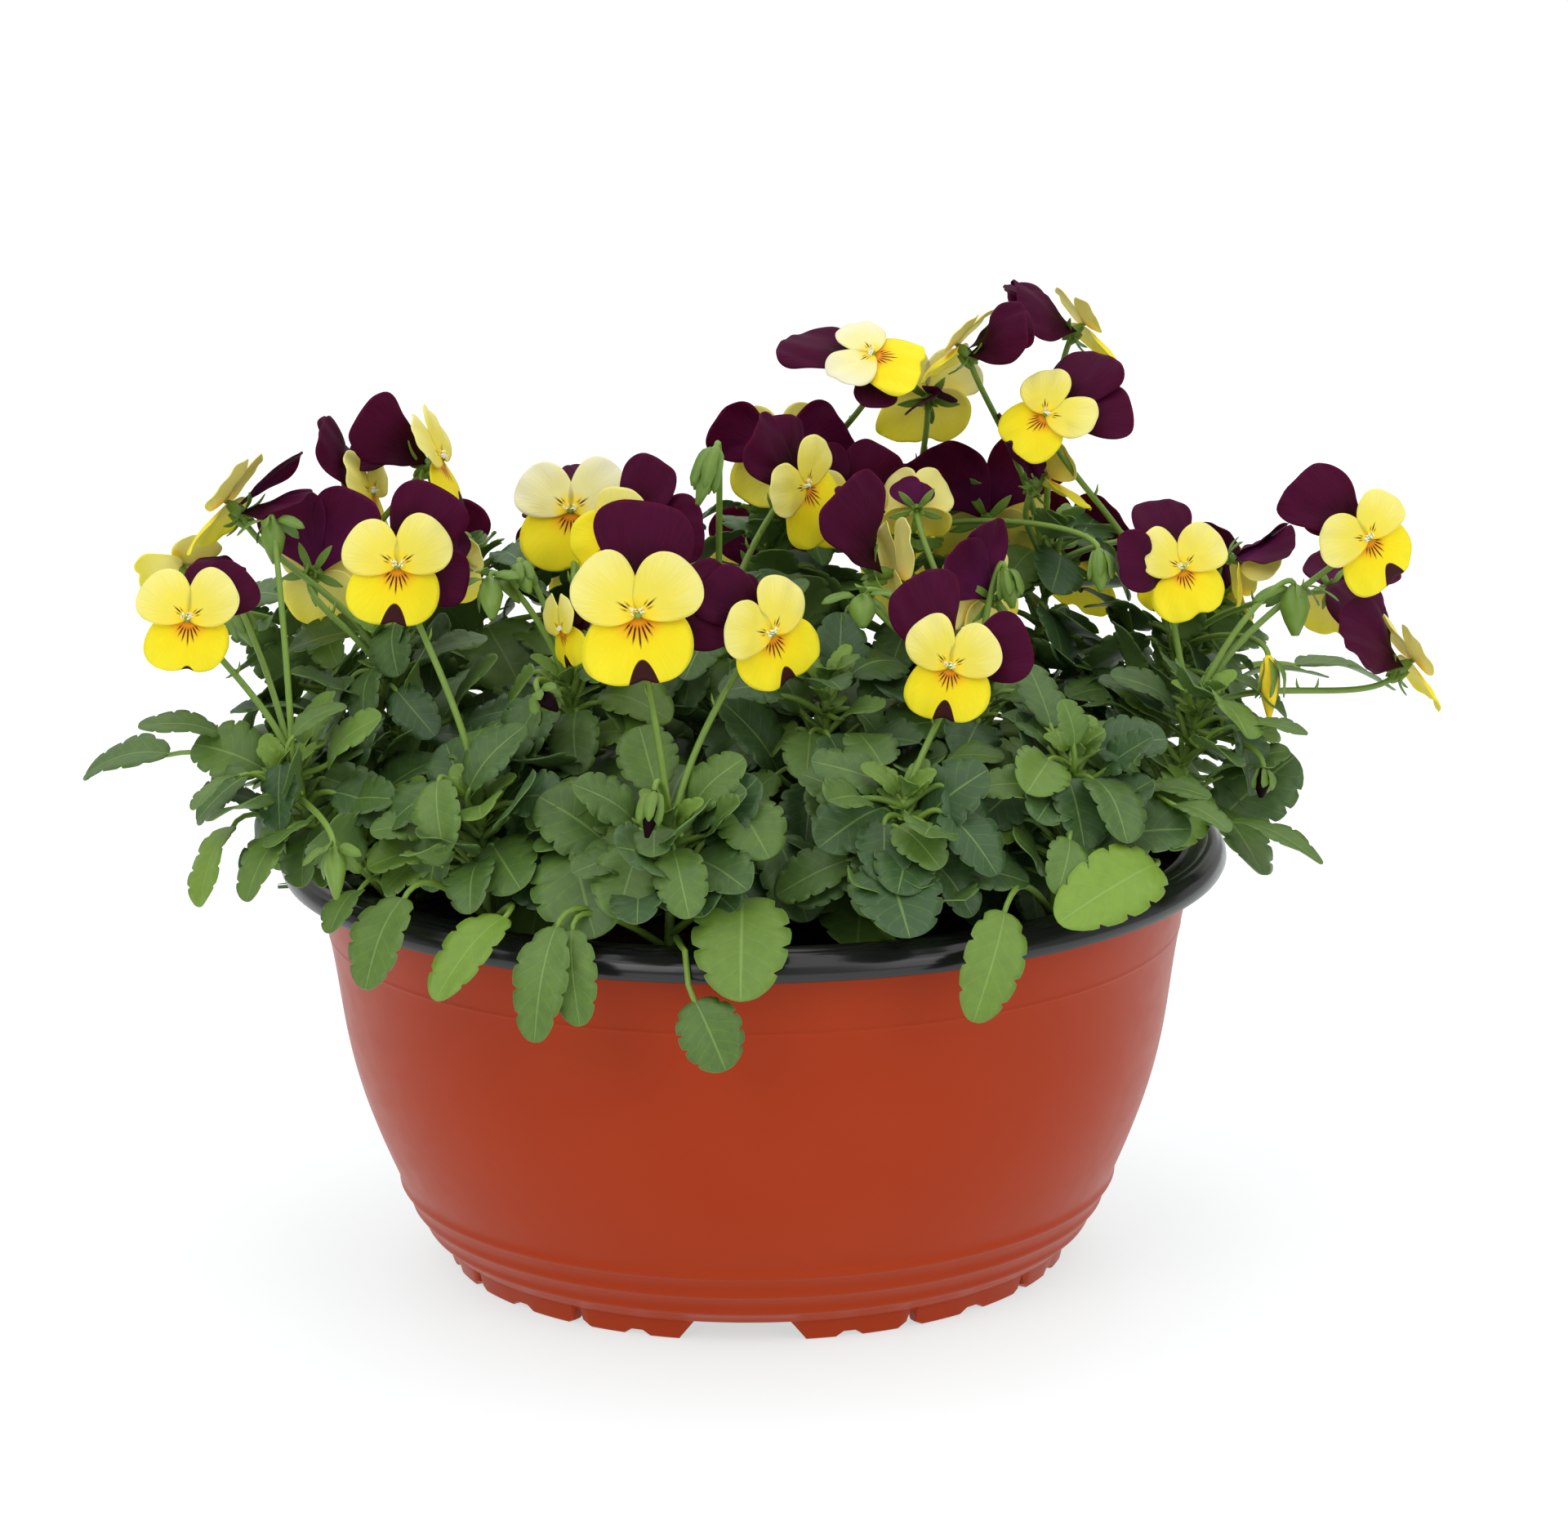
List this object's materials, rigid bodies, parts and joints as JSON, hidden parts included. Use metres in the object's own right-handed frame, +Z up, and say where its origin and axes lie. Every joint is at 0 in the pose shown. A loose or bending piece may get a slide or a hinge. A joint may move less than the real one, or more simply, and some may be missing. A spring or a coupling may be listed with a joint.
{
  "type": "potted pansy bowl planter",
  "caption": "Round two-colour plastic bowl planter on a notched foot ring, filled with soil and a clump of bedding pansies with bicoloured blooms on thin stalks.",
  "frame": {"origin": "centre of the whole planter's box at the surface it stands on, which is also the bowl's axis", "axes": "+Z up along the bowl's axis; -Y is the side that is looked at; +X along the longest extent"},
  "size_m": [0.3872, 0.2964, 0.2767],
  "materials": {
    "terracotta_plastic": "injection-moulded polypropylene with a soft satin surface",
    "black_plastic": "moulded black polypropylene with a glossy rolled rim",
    "potting_soil": null,
    "leaf_green": null,
    "petal_bicolour": null
  },
  "bodies": {
    "root": {"flower_01": "petal_bicolour", "flower_02": "petal_bicolour", "flower_03": "petal_bicolour", "flower_04": "petal_bicolour", "flower_05": "petal_bicolour", "flower_06": "petal_bicolour", "flower_07": "petal_bicolour", "flower_08": "petal_bicolour", "flower_09": "petal_bicolour", "flower_10": "petal_bicolour", "flower_11": "petal_bicolour", "flower_12": "petal_bicolour", "flower_13": "petal_bicolour", "flower_14": "petal_bicolour", "flower_15": "petal_bicolour", "flower_16": "petal_bicolour", "flower_17": "petal_bicolour", "flower_18": "petal_bicolour", "flower_19": "petal_bicolour", "flower_20": "petal_bicolour", "flower_21": "petal_bicolour", "flower_22": "petal_bicolour", "flower_23": "petal_bicolour", "flower_24": "petal_bicolour", "flower_25": "petal_bicolour", "flower_26": "petal_bicolour", "flower_27": "petal_bicolour", "flower_28": "petal_bicolour", "flower_29": "petal_bicolour", "flower_30": "petal_bicolour", "flower_31": "petal_bicolour", "flower_32": "petal_bicolour", "flower_33": "petal_bicolour", "flower_34": "petal_bicolour", "flower_35": "petal_bicolour", "flower_36": "petal_bicolour", "flower_37": "petal_bicolour", "flower_38": "petal_bicolour", "flower_39": "petal_bicolour", "pot_inner_liner_with_rim": "black_plastic", "pot_outer_wall": "terracotta_plastic", "potting_soil": "potting_soil", "shoot_01": "leaf_green", "shoot_02": "leaf_green", "shoot_03": "leaf_green", "shoot_04": "leaf_green", "shoot_05": "leaf_green", "shoot_06": "leaf_green", "shoot_07": "leaf_green", "shoot_08": "leaf_green", "shoot_09": "leaf_green", "shoot_10": "leaf_green", "shoot_11": "leaf_green", "shoot_12": "leaf_green", "shoot_13": "leaf_green", "shoot_14": "leaf_green", "shoot_15": "leaf_green", "shoot_16": "leaf_green", "shoot_17": "leaf_green", "shoot_18": "leaf_green"}
  },
  "joints": []
}
